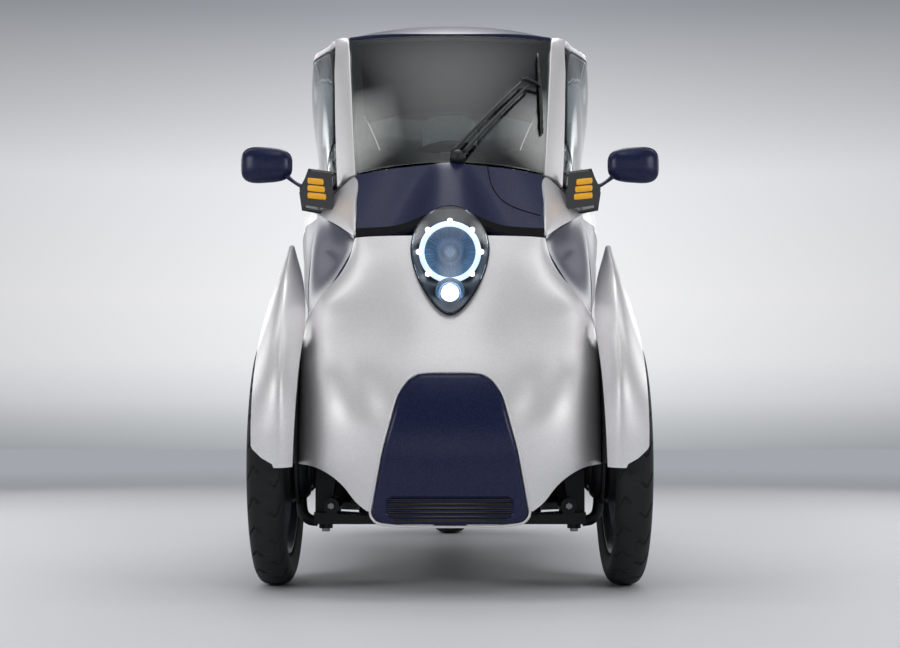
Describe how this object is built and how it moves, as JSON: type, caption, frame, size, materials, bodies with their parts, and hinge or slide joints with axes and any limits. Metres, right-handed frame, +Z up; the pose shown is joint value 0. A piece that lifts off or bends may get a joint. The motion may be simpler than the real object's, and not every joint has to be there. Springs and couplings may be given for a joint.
{
  "type": "three-wheeled car",
  "caption": "Narrow electric tilting tricycle car, enclosed tandem two-seat cabin, paired front wheels with swept fenders, one steered rear wheel, hinged doors.",
  "frame": {"origin": "on the ground under the middle of the body", "axes": "+X to the car's left, +Y to its rear, +Z up"},
  "size_m": [1.0062, 2.3504, 1.4453],
  "materials": {
    "pearl_paint": "pearl white painted body panels, gloss",
    "navy_paint": "dark navy metallic paint, gloss",
    "roof_black": "gloss black roof",
    "black_plastic": "grained black plastic",
    "black_metal": "black coated steel",
    "screen_glass": "clear laminated glass",
    "side_glass": "tinted glass",
    "lamp_lens": "clear moulded lens",
    "lamp_inside": "dark blue-black lamp housing",
    "red_lens": "red lamp lens",
    "amber_lens": "amber lamp lens in a black pod",
    "tyre": "black tyre rubber",
    "rim_paint": "dark painted cast alloy",
    "seat_fabric": "black seat cloth",
    "battery_case": "grey coated case"
  },
  "bodies": {
    "body": {"battery": "battery_case", "chassis_floor": "black_plastic", "cowl_panel": "navy_paint", "dashboard": "black_plastic", "fender_left": "pearl_paint", "fender_right": "pearl_paint", "fender_stays": "black_metal", "flank_panels": "navy_paint", "front_arms": "black_metal", "front_posts": "black_metal", "front_seat": "seat_fabric", "front_subframe": "black_metal", "headlamp_housing": "lamp_inside", "headlamp_lens": "lamp_lens", "indicators": "amber_lens", "knuckles": "black_metal", "mirrors": "navy_paint", "nose_panel": "navy_paint", "nose_shell": "pearl_paint", "pillar_feet": "pearl_paint", "quarter_panel_left": "pearl_paint", "quarter_panel_right": "pearl_paint", "rear_frame": "black_metal", "rear_seat": "seat_fabric", "rear_window": "side_glass", "roof_panel": "roof_black", "roof_rails": "pearl_paint", "side_glass": "side_glass", "sills": "black_plastic", "tail_lamps": "red_lens", "tail_panel": "pearl_paint", "windscreen": "screen_glass", "wiper": "black_metal"},
    "door_left": {"door_glass_left": "side_glass", "door_left": "navy_paint"},
    "door_right": {"door_glass_right": "side_glass", "door_right": "navy_paint"},
    "wheel_front_left": {"rim_front_left": "rim_paint", "tyre_front_left": "tyre"},
    "wheel_front_right": {"rim_front_right": "rim_paint", "tyre_front_right": "tyre"},
    "wheel_rear": {"rim_rear": "rim_paint", "tyre_rear": "tyre"},
    "rear_yoke": {"rear_yoke": "black_metal"},
    "steering_wheel": {"steering_wheel": "black_plastic"}
  },
  "joints": [
    {"name": "wheel_front_left_spin", "type": "hinge", "parent": "body", "child": "wheel_front_left", "pos_m": [0.381, -0.87, 0.275], "axis": [1, 0, 0], "continuous": true},
    {"name": "wheel_front_right_spin", "type": "hinge", "parent": "body", "child": "wheel_front_right", "pos_m": [-0.381, -0.87, 0.275], "axis": [1, 0, 0], "continuous": true},
    {"name": "rear_steer", "type": "hinge", "parent": "body", "child": "rear_yoke", "pos_m": [0, 0.83, 0.56], "axis": [0, 0, 1], "range_deg": [-30, 30]},
    {"name": "wheel_rear_spin", "type": "hinge", "parent": "rear_yoke", "child": "wheel_rear", "pos_m": [0, 0.83, 0.235], "axis": [1, 0, 0], "continuous": true},
    {"name": "steering_wheel_turn", "type": "hinge", "parent": "body", "child": "steering_wheel", "pos_m": [0, -0.37, 0.905], "axis": [0, 0.9135, 0.4067], "range_deg": [-150, 150]},
    {"name": "door_left_hinge", "type": "hinge", "parent": "body", "child": "door_left", "pos_m": [0.334, -0.511, 0.6], "axis": [0, 0, -1], "range_deg": [0, 65]},
    {"name": "door_right_hinge", "type": "hinge", "parent": "body", "child": "door_right", "pos_m": [-0.334, -0.511, 0.6], "axis": [0, 0, 1], "range_deg": [0, 65]}
  ],
  "couplings": [
    {"joint": "steering_wheel_turn", "follows": "rear_steer", "ratio": -5}
  ]
}
